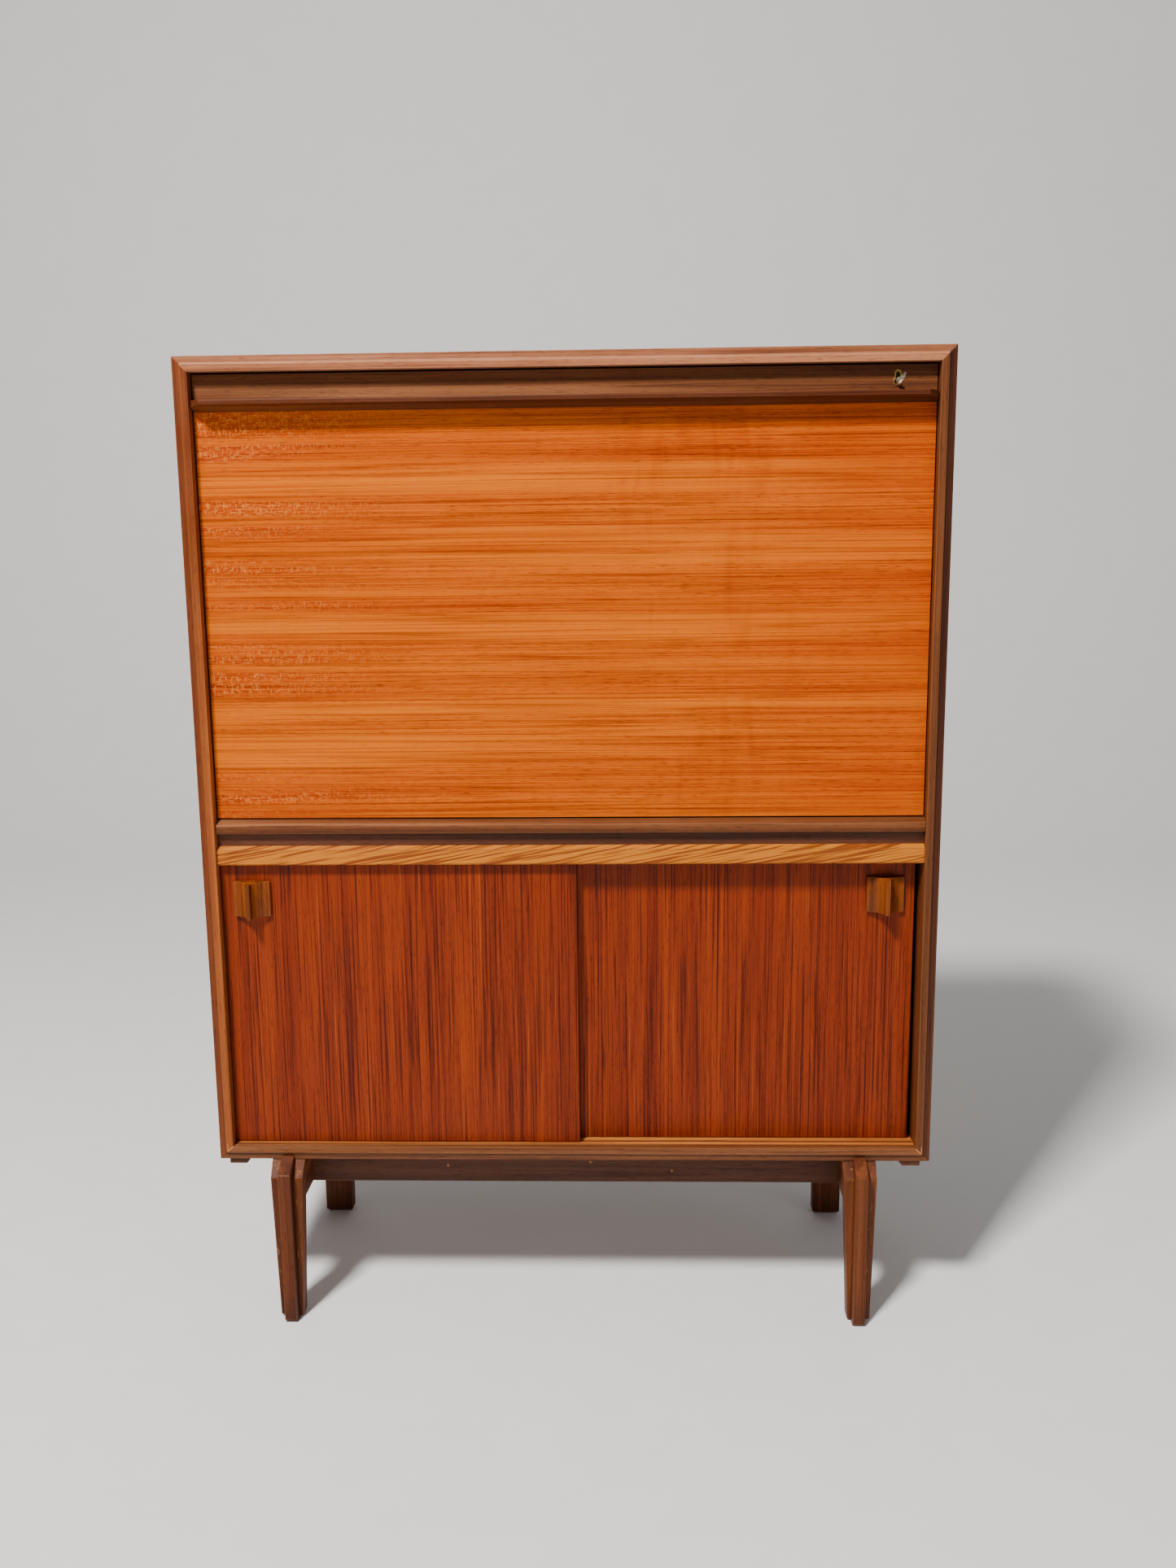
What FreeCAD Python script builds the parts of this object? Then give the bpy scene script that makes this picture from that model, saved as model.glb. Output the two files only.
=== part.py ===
"""Fall-front secretary desk on a laminated-leg base, in millimetres.

The case stands on four legs. Its upper half is a writing compartment behind a fall front that
swings down on two pivot pins and hangs on two sliding brass stays. Its lower half is a cupboard
with two sliding doors. +X is to the right, +Y is to the back, +Z is up, and the origin is on the
floor under the middle of the desk. Most places are given as a depth behind the case front.
"""
import FreeCAD, Part
import math
import os

# Overall size
CASE_WIDTH = 900.0
CASE_TOP = 1200.0
CASE_BOTTOM = 212.0
CASE_DEPTH = 375.0
LEG_PROUD = 25.0  # the front legs stand this far in front of the case
BOARD = 18.0

HALF_WIDTH = CASE_WIDTH / 2
HALF_INSIDE = HALF_WIDTH - BOARD
INSIDE_BOTTOM = CASE_BOTTOM + BOARD
INSIDE_TOP = CASE_TOP - BOARD
CASE_FRONT = -(CASE_DEPTH - LEG_PROUD) / 2

# Front edge moulding of the case: a low outer band, a slope and a proud inner band
LIPPING = 12.0
OUTER_BAND = 8.2
BAND_STEP = 3.0
BAND_SLOPE = 1.3

# Back panel, let into a rebate and screwed
BACK_PANEL = 6.0
BACK_REBATE = 9.0
SCREW_HEAD_RADIUS = 3.5
SCREW_SHANK_RADIUS = 1.75
SCREW_LENGTH = 14.0
SCREW_HEAD_HEIGHT = 2.4
SCREW_EDGE_DISTANCE = 13.5
BACK_INSIDE = CASE_DEPTH - BACK_PANEL

# Fall front
FALL_FACE = 13.5  # depth of the panel's face behind the case front
FALL_THICKNESS = 18.0
FALL_BOTTOM = 654.2
FALL_TOP = INSIDE_TOP - 2.0
FALL_HALF_WIDTH = HALF_INSIDE - 1.6
RAIL_BOTTOM = 1150.0
FALL_BACK = FALL_FACE + FALL_THICKNESS
AXIS_DEPTH = FALL_FACE + FALL_THICKNESS / 2
AXIS_HEIGHT = FALL_BOTTOM + FALL_THICKNESS / 2
COVE_RADIUS = math.hypot(FALL_THICKNESS / 2, FALL_THICKNESS / 2) + 0.5
DESK_LEVEL = FALL_BOTTOM + FALL_THICKNESS  # the open fall front lies flush with the desk floor

# Pull lip across the fall front
LIP_NOSE = -9.5
LIP_TOP = 1150.0
LIP_NOSE_BOTTOM = 1144.5
LIP_ROOT_BOTTOM = 1137.0
LIP_END_CHAMFER = 13.0

# Pivot pins of the fall front
PIN_RADIUS = 4.0
PIN_RUNNING_GAP = 0.05
BUSH_RADIUS = 6.5
BUSH_LENGTH = 18.4
PIN_IN_SIDE = 6.0
PIN_IN_BUSH = 12.0

# Rails and mouldings between the writing compartment and the cupboard
MOULDING_FACE = 4.5
MID_FACE = 11.5
LOWER_MOULDING = (596.5, 615.5, 620.0)  # bottom, top of the face, top of the bevel
UPPER_MOULDING = (636.0, 647.0, FALL_BOTTOM - 1.7)
LOWER_BEVEL_DEPTH = 7.0
MID_RAIL_BOTTOM = 617.0
MID_RAIL_STEP = 645.0
MID_RAIL_BACK = 50.0
MOULDING_BACK = 36.0

# Sliding doors and their tracks
DOOR_THICKNESS = 12.0
LEFT_DOOR_FACE = 15.0
RIGHT_DOOR_FACE = 30.0
DOOR_BOTTOM = INSIDE_BOTTOM + 1.0
DOOR_TOP = 595.3
DOOR_OVERLAP = 10.0
TONGUE = 5.0
TONGUE_GAP = 0.4
LOWER_GROOVE_DEPTH = 5.0
UPPER_GROOVE_DEPTH = 10.0
UPPER_TONGUE = 8.7
TRACK_BOTTOM = 596.5
TRACK_BACK = 52.0
LEFT_DOOR_EDGE = -HALF_INSIDE + 0.5
RIGHT_DOOR_EDGE = HALF_INSIDE - 5.5

# Door pulls: a square plate with two coves that meet in a fin
PULL_WIDTH = 45.5
PULL_BOTTOM = 530.5
PULL_TOP = 575.0
PULL_EDGE = 5.0
PULL_COVE = 20.0
LEFT_PULL_X = -393.0
RIGHT_PULL_X = 390.0

# Lock and key
LOCK_X = 385.0
KEY_HEIGHT = 1161.5
LOCK_HALF_WIDTH = 30.0
LOCK_BOTTOM = 1152.5
LOCK_FACE = 19.0
LOCK_WALL = 2.0
LOCK_CHAMBER_HALF = 14.0
KEY_SHAFT_RADIUS = 2.0
KEY_BIT_RADIUS = 8.0
KEY_TIP = 27.0
BOW_CENTRE = -8.0
BOW_RADIUS = 8.4
BOW_WIRE = 2.4
KEY_TURNED = 32.0  # the key stands turned this far clockwise in the drawn-back lock
BOLT_HALF_WIDTH = 11.0
BOLT_LEG_INSIDE = 8.6
BOLT_FRONT = 22.0
BOLT_BACK = 28.5
STRIKE_THICKNESS = 1.5

# Sliding stays: the arm's pivot on the fall front and the guide on the case side lie on one
# circle about the fall front's axis, so the guide turns at exactly half the fall front's rate.
STAY_RADIUS = 160.0
STAY_OFFSET = 10.0  # from the inner face of the fall front to the arm's pivot
GUIDE_ANGLE = 68.0
ARM_LENGTH = 270.0
ARM_HEAD = 6.0
ARM_INSIDE = 416.8
ARM_OUTSIDE = 419.8
ARM_HALF_HEIGHT = 4.0
ARM_EYE_RADIUS = 5.5
ARM_PIN_RADIUS = 2.5
GUIDE_INSIDE = 415.0
GUIDE_OUTSIDE = 428.5
GUIDE_HALF = 8.0
GUIDE_GAP = 0.35
POST_RADIUS = 3.0

# Writing compartment fittings
GALLERY_FRONT = 183.0
GALLERY_BOARD = 10.0
GALLERY_HALF_WIDTH = 410.0
GALLERY_SHELF = 750.0
GALLERY_TOP = 900.0
GALLERY_SLOPE = (90.0, 60.0)  # how far the upright's top corner is cut back, and down
DRAWER_GAP = 1.5
DRAWER_FRONT = 12.0
DRAWER_WALL = 8.0
DRAWER_BACK = 361.0
DRAWER_WALL_TOP = 738.0
DRAWER_FLOOR = 4.0
DRAWER_FLOOR_HEIGHT = 678.0
KNOB_RADIUS = 8.0
KNOB_LENGTH = 14.0

# Cupboard shelf
SHELF_BOTTOM = 405.0
SHELF_THICKNESS = 16.0
SHELF_FRONT = 60.0

# Base: four laminated legs, side rails, aprons and battens
LEG_X = 362.5
CORE_HALF = 7.75
CHEEK_TOP = 13.25
OUTER_CHEEK_FOOT = 8.0
INNER_CHEEK_FOOT = 5.0
REAR_CHEEK_FOOT = 12.0
LEG_DEPTH = 34.0
CHEEK_DEPTH = 20.0
CORE_TIP = 5.0  # the front cores rise this far past the case's lower edge
CORE_CHAMFER_RISE = 15.0
CHEEK_CHAMFER = (16.0, 20.0)  # how far the chamfer at the cheek's top runs back, and rises
FOOT_EASE = 4.0
REAR_LEG_FRONT = 269.0
RAILS_BOTTOM = 159.0
SIDE_RAIL_HALF = 18.5
APRON = 18.0
APRON_SETBACK = 41.0  # from the back of a front leg to the front apron
BATTEN = (411.0, 417.0, 439.0)  # toe of the bevel, top of the bevel, outer side
BATTEN_BOTTOM = 204.5
BATTEN_FRONT = 6.0
BATTEN_BACK = 345.0

OVERSHOOT = 5.0  # cutting tools run this far past the face that they cut


def at_depth(depth):
    """The y coordinate of a point this far behind the case front."""
    return CASE_FRONT + depth


def prism(outline, direction):
    """A closed outline of FreeCAD vectors, extruded along a vector."""
    wire = Part.makePolygon(outline + [outline[0]])
    return Part.Face(wire).extrude(direction)


def block(x_range, depth_range, z_range):
    """A box between two x, two depths and two heights."""
    (x0, x1), (d0, d1), (z0, z1) = sorted(x_range), sorted(depth_range), sorted(z_range)
    return Part.makeBox(x1 - x0, d1 - d0, z1 - z0, FreeCAD.Vector(x0, at_depth(d0), z0))


def along_x(outline, x0, x1):
    """An outline of (depth, z) points, extruded along X."""
    points = [FreeCAD.Vector(x0, at_depth(d), z) for d, z in outline]
    return prism(points, FreeCAD.Vector(x1 - x0, 0, 0))


def along_y(outline, d0, d1):
    """An outline of (x, z) points, extruded backwards."""
    points = [FreeCAD.Vector(x, at_depth(d0), z) for x, z in outline]
    return prism(points, FreeCAD.Vector(0, d1 - d0, 0))


def along_z(outline, z0, z1):
    """An outline of (x, depth) points, extruded upwards."""
    points = [FreeCAD.Vector(x, at_depth(d), z0) for x, d in outline]
    return prism(points, FreeCAD.Vector(0, 0, z1 - z0))


def rod(radius, start, end):
    """A cylinder between two (x, depth, z) points."""
    a = FreeCAD.Vector(start[0], at_depth(start[1]), start[2])
    b = FreeCAD.Vector(end[0], at_depth(end[1]), end[2])
    return Part.makeCylinder(radius, (b - a).Length, a, b - a)


def fall_axis_rod(radius, x0, x1):
    """A cylinder about the fall front's axis."""
    return rod(radius, (x0, AXIS_DEPTH, AXIS_HEIGHT), (x1, AXIS_DEPTH, AXIS_HEIGHT))


# --- case -------------------------------------------------------------------------------------


def mitred_outline(side):
    """The (x, z) outline of one mitred side of the case frame."""
    outer = [
        (-HALF_WIDTH, CASE_BOTTOM),
        (HALF_WIDTH, CASE_BOTTOM),
        (HALF_WIDTH, CASE_TOP),
        (-HALF_WIDTH, CASE_TOP),
    ]
    inner = [(x - math.copysign(BOARD, x), z) for x, z in outer]
    inner = [(x, INSIDE_BOTTOM if z == CASE_BOTTOM else INSIDE_TOP) for x, z in inner]
    start = ["bottom", "right", "top", "left"].index(side)
    end = (start + 1) % 4
    return [outer[start], outer[end], inner[end], inner[start]]


def edge_moulding(side):
    """The solid lipping on the front edge of one case board, moulded and mitred."""
    outline = mitred_outline(side)
    (x0, z0), (x1, z1) = outline[0], outline[1]
    length = math.hypot(x1 - x0, z1 - z0)
    slope_end = OUTER_BAND + BAND_SLOPE
    profile = [(BAND_STEP, 0), (BAND_STEP, OUTER_BAND), (0, slope_end), (0, BOARD)]
    profile += [(LIPPING, BOARD), (LIPPING, 0)]
    strip = [FreeCAD.Vector(0, depth, height) for depth, height in profile]
    strip = prism(strip, FreeCAD.Vector(length, 0, 0))
    turns = {"bottom": 0, "right": -90, "top": 180, "left": 90}
    strip.rotate(FreeCAD.Vector(0, 0, 0), FreeCAD.Vector(0, 1, 0), turns[side])
    strip.translate(FreeCAD.Vector(x0, CASE_FRONT, z0))
    return strip.common(along_y(outline, 0, LIPPING))


def back_panel_blank():
    inset = BACK_REBATE
    return block(
        (-HALF_WIDTH + inset, HALF_WIDTH - inset),
        (BACK_INSIDE, CASE_DEPTH),
        (CASE_BOTTOM + inset, CASE_TOP - inset),
    )


def back_screw(x, z):
    """A countersunk wood screw, its head flush with the back panel."""
    shank_end = CASE_DEPTH - SCREW_LENGTH
    head = Part.makeCone(
        SCREW_SHANK_RADIUS,
        SCREW_HEAD_RADIUS,
        SCREW_HEAD_HEIGHT,
        FreeCAD.Vector(x, at_depth(CASE_DEPTH - SCREW_HEAD_HEIGHT), z),
        FreeCAD.Vector(0, 1, 0),
    )
    return head.fuse(rod(SCREW_SHANK_RADIUS, (x, shank_end, z), (x, CASE_DEPTH - 1, z))).removeSplitter()


def back_screws():
    """Four screws down each side and three more along the top and the bottom."""
    side_x = HALF_WIDTH - SCREW_EDGE_DISTANCE
    low = CASE_BOTTOM + SCREW_EDGE_DISTANCE
    high = CASE_TOP - SCREW_EDGE_DISTANCE
    side_heights = [low + 90 + i * (high - low - 180) / 3 for i in range(4)]
    places = [(x, z) for x in (-side_x, side_x) for z in side_heights]
    places += [(x, z) for x in (-260, 0, 260) for z in (low, high)]
    return Part.makeCompound([back_screw(x, z) for x, z in places])


def case_board(side):
    """One mitred board of the case, rebated for the back panel."""
    board = along_y(mitred_outline(side), LIPPING, CASE_DEPTH)
    board = board.cut(back_panel_blank()).cut(back_screws())
    if side == "left":
        board = board.cut(fall_axis_rod(PIN_RADIUS, -HALF_INSIDE - PIN_IN_SIDE, 0))
    if side == "right":
        board = board.cut(fall_axis_rod(PIN_RADIUS, 0, HALF_INSIDE + PIN_IN_SIDE))
    if side == "top":
        board = board.cut(strike_pocket())
    if side == "bottom":
        groove_bottom = INSIDE_BOTTOM - LOWER_GROOVE_DEPTH
        for face in (LEFT_DOOR_FACE, RIGHT_DOOR_FACE):
            board = board.cut(track_groove(face, groove_bottom, INSIDE_BOTTOM + OVERSHOOT))
    return board


def track_groove(door_face, z0, z1):
    """The groove that a door's tongue runs in, from side to side."""
    middle = door_face + DOOR_THICKNESS / 2
    half = TONGUE / 2 + TONGUE_GAP
    return block((-HALF_INSIDE, HALF_INSIDE), (middle - half, middle + half), (z0, z1))


# --- floor of the writing compartment and the mouldings under it ---------------------------------


def desk_floor():
    """The writing compartment's floor; its front edge is coved round the fall front's corner."""
    top_front = AXIS_DEPTH + math.sqrt(COVE_RADIUS**2 - (FALL_THICKNESS / 2) ** 2)
    floor = block((-HALF_INSIDE, HALF_INSIDE), (top_front, BACK_INSIDE), (FALL_BOTTOM, DESK_LEVEL))
    return floor.cut(fall_axis_rod(COVE_RADIUS, -HALF_INSIDE - 1, HALF_INSIDE + 1))


def mid_rail():
    """The rail across the case that carries the floor and both mouldings."""
    outline = [
        (MID_FACE, MID_RAIL_BOTTOM),
        (MID_RAIL_BACK, MID_RAIL_BOTTOM),
        (MID_RAIL_BACK, FALL_BOTTOM),
        (MOULDING_BACK, FALL_BOTTOM),
        (MOULDING_BACK, MID_RAIL_STEP),
        (MID_FACE, MID_RAIL_STEP),
    ]
    return along_x(outline, -HALF_INSIDE, HALF_INSIDE)


def upper_mid_moulding():
    """The moulding under the fall front, bevelled in front and coved where the corner swings."""
    bottom, face_top, bevel_top = UPPER_MOULDING
    cove_edge = AXIS_DEPTH - math.sqrt(COVE_RADIUS**2 - (AXIS_HEIGHT - bevel_top) ** 2)
    outline = [
        (MOULDING_FACE, bottom),
        (MID_FACE, bottom),
        (MID_FACE, MID_RAIL_STEP),
        (MOULDING_BACK, MID_RAIL_STEP),
        (MOULDING_BACK, bevel_top),
        (cove_edge, bevel_top),
        (MOULDING_FACE, face_top),
    ]
    moulding = along_x(outline, -HALF_INSIDE, HALF_INSIDE)
    return moulding.cut(fall_axis_rod(COVE_RADIUS, -HALF_INSIDE - 1, HALF_INSIDE + 1))


def lower_mid_moulding():
    """The moulding over the sliding doors, bevelled along its top."""
    bottom, face_top, bevel_top = LOWER_MOULDING
    outline = [
        (MOULDING_FACE + 1.5, bottom),
        (MID_FACE, bottom),
        (MID_FACE, bevel_top),
        (MOULDING_FACE + LOWER_BEVEL_DEPTH - 0.5, bevel_top),
        (MOULDING_FACE, face_top),
        (MOULDING_FACE, bottom + 1.5),
    ]
    return along_x(outline, -HALF_INSIDE, HALF_INSIDE)


def door_top_track():
    track = block((-HALF_INSIDE, HALF_INSIDE), (MID_FACE, TRACK_BACK), (TRACK_BOTTOM, MID_RAIL_BOTTOM))
    for face in (LEFT_DOOR_FACE, RIGHT_DOOR_FACE):
        track = track.cut(track_groove(face, TRACK_BOTTOM - OVERSHOOT, TRACK_BOTTOM + UPPER_GROOVE_DEPTH))
    return track


def lower_shelf():
    heights = (SHELF_BOTTOM, SHELF_BOTTOM + SHELF_THICKNESS)
    return block((-HALF_INSIDE, HALF_INSIDE), (SHELF_FRONT, BACK_INSIDE), heights)


# --- base ---------------------------------------------------------------------------------------


def leg_core(side, rear):
    """The middle lamination of a leg, proud of its cheeks; the front ones lap the case's edge."""
    if rear:
        front, back = REAR_LEG_FRONT, REAR_LEG_FRONT + LEG_DEPTH
        top = [(back, CASE_BOTTOM), (front, CASE_BOTTOM)]
    else:
        front, back = -LEG_PROUD, LEG_DEPTH - LEG_PROUD
        tip = CASE_BOTTOM + CORE_TIP
        top = [(back, CASE_BOTTOM), (BAND_STEP, CASE_BOTTOM), (BAND_STEP, tip), (0, tip)]
        top += [(front, tip - CORE_CHAMFER_RISE)]
    foot = [(front, FOOT_EASE), (front + FOOT_EASE, 0), (back - FOOT_EASE, 0), (back, FOOT_EASE)]
    middle = side * LEG_X
    return along_x(foot + top, middle - CORE_HALF, middle + CORE_HALF)


def leg_cheeks(side, rear):
    """The two outer laminations of a leg; the front ones taper towards the foot."""
    outer_foot, inner_foot = OUTER_CHEEK_FOOT, INNER_CHEEK_FOOT
    if rear:
        outer_foot = inner_foot = REAR_CHEEK_FOOT
        front, back = REAR_LEG_FRONT, REAR_LEG_FRONT + CHEEK_DEPTH
        top = [(back, CASE_BOTTOM), (front, CASE_BOTTOM)]
    else:
        back = LEG_DEPTH - LEG_PROUD
        front = back - CHEEK_DEPTH
        run, rise = CHEEK_CHAMFER
        top = [(back, CASE_BOTTOM), (front + run, CASE_BOTTOM), (front, CASE_BOTTOM - rise)]
    foot = [(front, FOOT_EASE), (front + FOOT_EASE, 0), (back - FOOT_EASE, 0), (back, FOOT_EASE)]
    cheeks = []
    for hand in (-1, 1):
        inside = side * LEG_X + hand * CORE_HALF
        width = outer_foot if hand == side else inner_foot
        ease = min(FOOT_EASE, width / 2)
        taper = [
            (inside, 0),
            (inside + hand * (width - ease), 0),
            (inside + hand * width, ease),
            (inside + hand * CHEEK_TOP, CASE_BOTTOM),
            (inside, CASE_BOTTOM),
        ]
        lamination = along_x(foot + top, inside, inside + hand * CHEEK_TOP)
        cheeks.append(lamination.common(along_y(taper, front, back)))
    return Part.makeCompound(cheeks)


def side_rail(side):
    """The rail from a front leg to a rear leg."""
    x_range = (side * LEG_X - SIDE_RAIL_HALF, side * LEG_X + SIDE_RAIL_HALF)
    depths = (LEG_DEPTH - LEG_PROUD, REAR_LEG_FRONT)
    return block(x_range, depths, (RAILS_BOTTOM, CASE_BOTTOM))


def apron(front):
    """A rail across the desk, from one side rail to the other."""
    half = LEG_X - SIDE_RAIL_HALF
    return block((-half, half), (front, front + APRON), (RAILS_BOTTOM, CASE_BOTTOM))


def base_battens():
    """Two battens under the case bottom, bevelled on their inner side."""
    toe, bevel, outer = BATTEN
    battens = []
    for hand in (-1, 1):
        outline = [
            (hand * toe, CASE_BOTTOM),
            (hand * bevel, BATTEN_BOTTOM),
            (hand * outer, BATTEN_BOTTOM),
            (hand * outer, CASE_BOTTOM),
        ]
        battens.append(along_y(outline, BATTEN_FRONT, BATTEN_BACK))
    return Part.makeCompound(battens)


# --- fall front ---------------------------------------------------------------------------------


def fall_panel():
    panel = block(
        (-FALL_HALF_WIDTH, FALL_HALF_WIDTH),
        (FALL_FACE, FALL_BACK),
        (FALL_BOTTOM, RAIL_BOTTOM),
    )
    for hand in (-1, 1):
        end = hand * (FALL_HALF_WIDTH + OVERSHOOT)
        start = hand * (FALL_HALF_WIDTH - BUSH_LENGTH)
        panel = panel.cut(fall_axis_rod(BUSH_RADIUS, start, end))
    return panel


def keyhole_outline(round_radius, slot_half, slot_top, d0, d1):
    """A keyhole, round below and slotted above, as a solid between two depths."""
    hole = rod(round_radius, (LOCK_X, d0, KEY_HEIGHT), (LOCK_X, d1, KEY_HEIGHT))
    slot = block((LOCK_X - slot_half, LOCK_X + slot_half), (d0, d1), (KEY_HEIGHT, slot_top))
    slot_end = rod(slot_half, (LOCK_X, d0, slot_top), (LOCK_X, d1, slot_top))
    return hole.fuse([slot, slot_end]).removeSplitter()


def liner_blank():
    return keyhole_outline(5.5, 4.0, KEY_HEIGHT + 9.0, FALL_FACE - 0.6, LOCK_FACE)


def key_passage():
    return keyhole_outline(3.5, 2.3, KEY_HEIGHT + 8.0, FALL_FACE - OVERSHOOT, LOCK_FACE + LOCK_WALL)


def keyhole_liner():
    return liner_blank().cut(key_passage())


def lock_blank():
    x_range = (LOCK_X - LOCK_HALF_WIDTH, LOCK_X + LOCK_HALF_WIDTH)
    return block(x_range, (LOCK_FACE, FALL_BACK), (LOCK_BOTTOM, FALL_TOP))


def fall_top_rail():
    """The rail over the pull lip, mortised for the lock."""
    rail = block(
        (-FALL_HALF_WIDTH, FALL_HALF_WIDTH),
        (FALL_FACE, FALL_BACK),
        (RAIL_BOTTOM, FALL_TOP),
    )
    return rail.cut(lock_blank()).cut(liner_blank())


def fall_pull_lip():
    """The full-width lip under the rail, coved beneath and chamfered at its ends."""
    nose_bottom = FreeCAD.Vector(0, at_depth(LIP_NOSE), LIP_NOSE_BOTTOM)
    nose_under = FreeCAD.Vector(0, at_depth(LIP_NOSE + 2), LIP_NOSE_BOTTOM - 0.6)
    root = FreeCAD.Vector(0, at_depth(FALL_FACE), LIP_ROOT_BOTTOM)
    belly = FreeCAD.Vector(0, at_depth(5.0), LIP_NOSE_BOTTOM - 2.6)
    root_top = FreeCAD.Vector(0, at_depth(FALL_FACE), LIP_TOP)
    nose_shoulder = FreeCAD.Vector(0, at_depth(LIP_NOSE + 0.8), LIP_TOP)
    nose_top = FreeCAD.Vector(0, at_depth(LIP_NOSE), LIP_TOP - 0.8)
    edges = [
        Part.Arc(nose_under, belly, root).toShape(),
        Part.makeLine(root, root_top),
        Part.makeLine(root_top, nose_shoulder),
        Part.makeLine(nose_shoulder, nose_top),
        Part.makeLine(nose_top, nose_bottom),
        Part.makeLine(nose_bottom, nose_under),
    ]
    section = Part.Face(Part.Wire(edges))
    section.translate(FreeCAD.Vector(-FALL_HALF_WIDTH, 0, 0))
    lip = section.extrude(FreeCAD.Vector(2 * FALL_HALF_WIDTH, 0, 0))
    chamfer_start = LIP_NOSE + LIP_END_CHAMFER
    half, nose_half = FALL_HALF_WIDTH, FALL_HALF_WIDTH - LIP_END_CHAMFER
    plan = [
        (-half, FALL_FACE),
        (-half, chamfer_start),
        (-nose_half, LIP_NOSE),
        (nose_half, LIP_NOSE),
        (half, chamfer_start),
        (half, FALL_FACE),
    ]
    return lip.common(along_z(plan, LIP_ROOT_BOTTOM, LIP_TOP))


def pivot_pins():
    """The two pins that the fall front swings on, fixed in the case sides."""
    outer, inner = HALF_INSIDE + PIN_IN_SIDE, FALL_HALF_WIDTH - PIN_IN_BUSH
    return Part.makeCompound([fall_axis_rod(PIN_RADIUS, hand * outer, hand * inner) for hand in (-1, 1)])


def pivot_bushes():
    """Brass bushes in the ends of the fall front, a running fit on the pins."""
    bushes = []
    for hand in (-1, 1):
        inner, outer = hand * (FALL_HALF_WIDTH - BUSH_LENGTH), hand * FALL_HALF_WIDTH
        bore_start = inner + hand * 2
        bush = fall_axis_rod(BUSH_RADIUS, inner, outer)
        bore = fall_axis_rod(PIN_RADIUS + PIN_RUNNING_GAP, bore_start, outer + hand)
        bushes.append(bush.cut(bore))
    return Part.makeCompound(bushes)


# --- lock ---------------------------------------------------------------------------------------


def lock_case():
    """The mortise lock's case, with a chamber for the bit and a slot for the bolt."""
    chamber_top = FALL_TOP - LOCK_WALL
    chamber = block(
        (LOCK_X - LOCK_CHAMBER_HALF, LOCK_X + LOCK_CHAMBER_HALF),
        (LOCK_FACE + LOCK_WALL, FALL_BACK - LOCK_WALL),
        (LOCK_BOTTOM + LOCK_WALL, chamber_top),
    )
    bolt_slot = block(
        (LOCK_X - BOLT_HALF_WIDTH - 0.4, LOCK_X + BOLT_HALF_WIDTH + 0.4),
        (BOLT_FRONT - 0.4, BOLT_BACK + 0.4),
        (chamber_top - 1, FALL_TOP + 1),
    )
    return lock_blank().cut(chamber).cut(bolt_slot).cut(key_passage())


def lock_bolt():
    """The bolt, which rises into the case top, with two legs that straddle the key's bit."""
    depths = (BOLT_FRONT, BOLT_BACK)
    x_range = (LOCK_X - BOLT_HALF_WIDTH, LOCK_X + BOLT_HALF_WIDTH)
    bolt = block(x_range, depths, (LOCK_BOTTOM + 7, FALL_TOP - 0.4))
    between_legs = block(
        (LOCK_X - BOLT_LEG_INSIDE, LOCK_X + BOLT_LEG_INSIDE),
        (BOLT_FRONT - 1, BOLT_BACK + 1),
        (LOCK_BOTTOM, KEY_HEIGHT + KEY_BIT_RADIUS + 1.2),
    )
    return bolt.cut(between_legs)


def strike_pocket():
    """The pocket in the case top for the strike plate and the thrown bolt."""
    plate = block((LOCK_X - 18, LOCK_X + 18), (17, 34), (INSIDE_TOP - 1, INSIDE_TOP + STRIKE_THICKNESS))
    hole = block(
        (LOCK_X - BOLT_HALF_WIDTH - 0.6, LOCK_X + BOLT_HALF_WIDTH + 0.6),
        (BOLT_FRONT - 0.6, BOLT_BACK + 0.6),
        (INSIDE_TOP, INSIDE_TOP + 8),
    )
    return plate.fuse(hole)


def strike_plate():
    plate = block((LOCK_X - 18, LOCK_X + 18), (17, 34), (INSIDE_TOP, INSIDE_TOP + STRIKE_THICKNESS))
    hole = block(
        (LOCK_X - BOLT_HALF_WIDTH - 0.6, LOCK_X + BOLT_HALF_WIDTH + 0.6),
        (BOLT_FRONT - 0.6, BOLT_BACK + 0.6),
        (INSIDE_TOP - 1, INSIDE_TOP + 8),
    )
    return plate.cut(hole)


def key():
    """The key: a ring bow, a collar, a shaft and a bit, in one plane that stands turned."""
    shaft_end = BOW_CENTRE + BOW_RADIUS - BOW_WIRE / 2
    shaft = rod(KEY_SHAFT_RADIUS, (LOCK_X, KEY_TIP, KEY_HEIGHT), (LOCK_X, shaft_end, KEY_HEIGHT))
    collar = rod(3.4, (LOCK_X, 6.5, KEY_HEIGHT), (LOCK_X, 3.0, KEY_HEIGHT))
    half_wire = BOW_WIRE / 2
    left, right = LOCK_X - half_wire, LOCK_X + half_wire
    ring = rod(BOW_RADIUS, (left, BOW_CENTRE, KEY_HEIGHT), (right, BOW_CENTRE, KEY_HEIGHT))
    opening = rod(
        BOW_RADIUS - BOW_WIRE,
        (left - 1, BOW_CENTRE, KEY_HEIGHT),
        (right + 1, BOW_CENTRE, KEY_HEIGHT),
    )
    bit = block((LOCK_X - 1, LOCK_X + 1), (KEY_TIP - 4, KEY_TIP), (KEY_HEIGHT, KEY_HEIGHT + KEY_BIT_RADIUS))
    whole = ring.cut(opening).fuse([shaft, collar, bit]).removeSplitter()
    whole.rotate(FreeCAD.Vector(LOCK_X, 0, KEY_HEIGHT), FreeCAD.Vector(0, 1, 0), KEY_TURNED)
    return whole


# --- stays --------------------------------------------------------------------------------------


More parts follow.
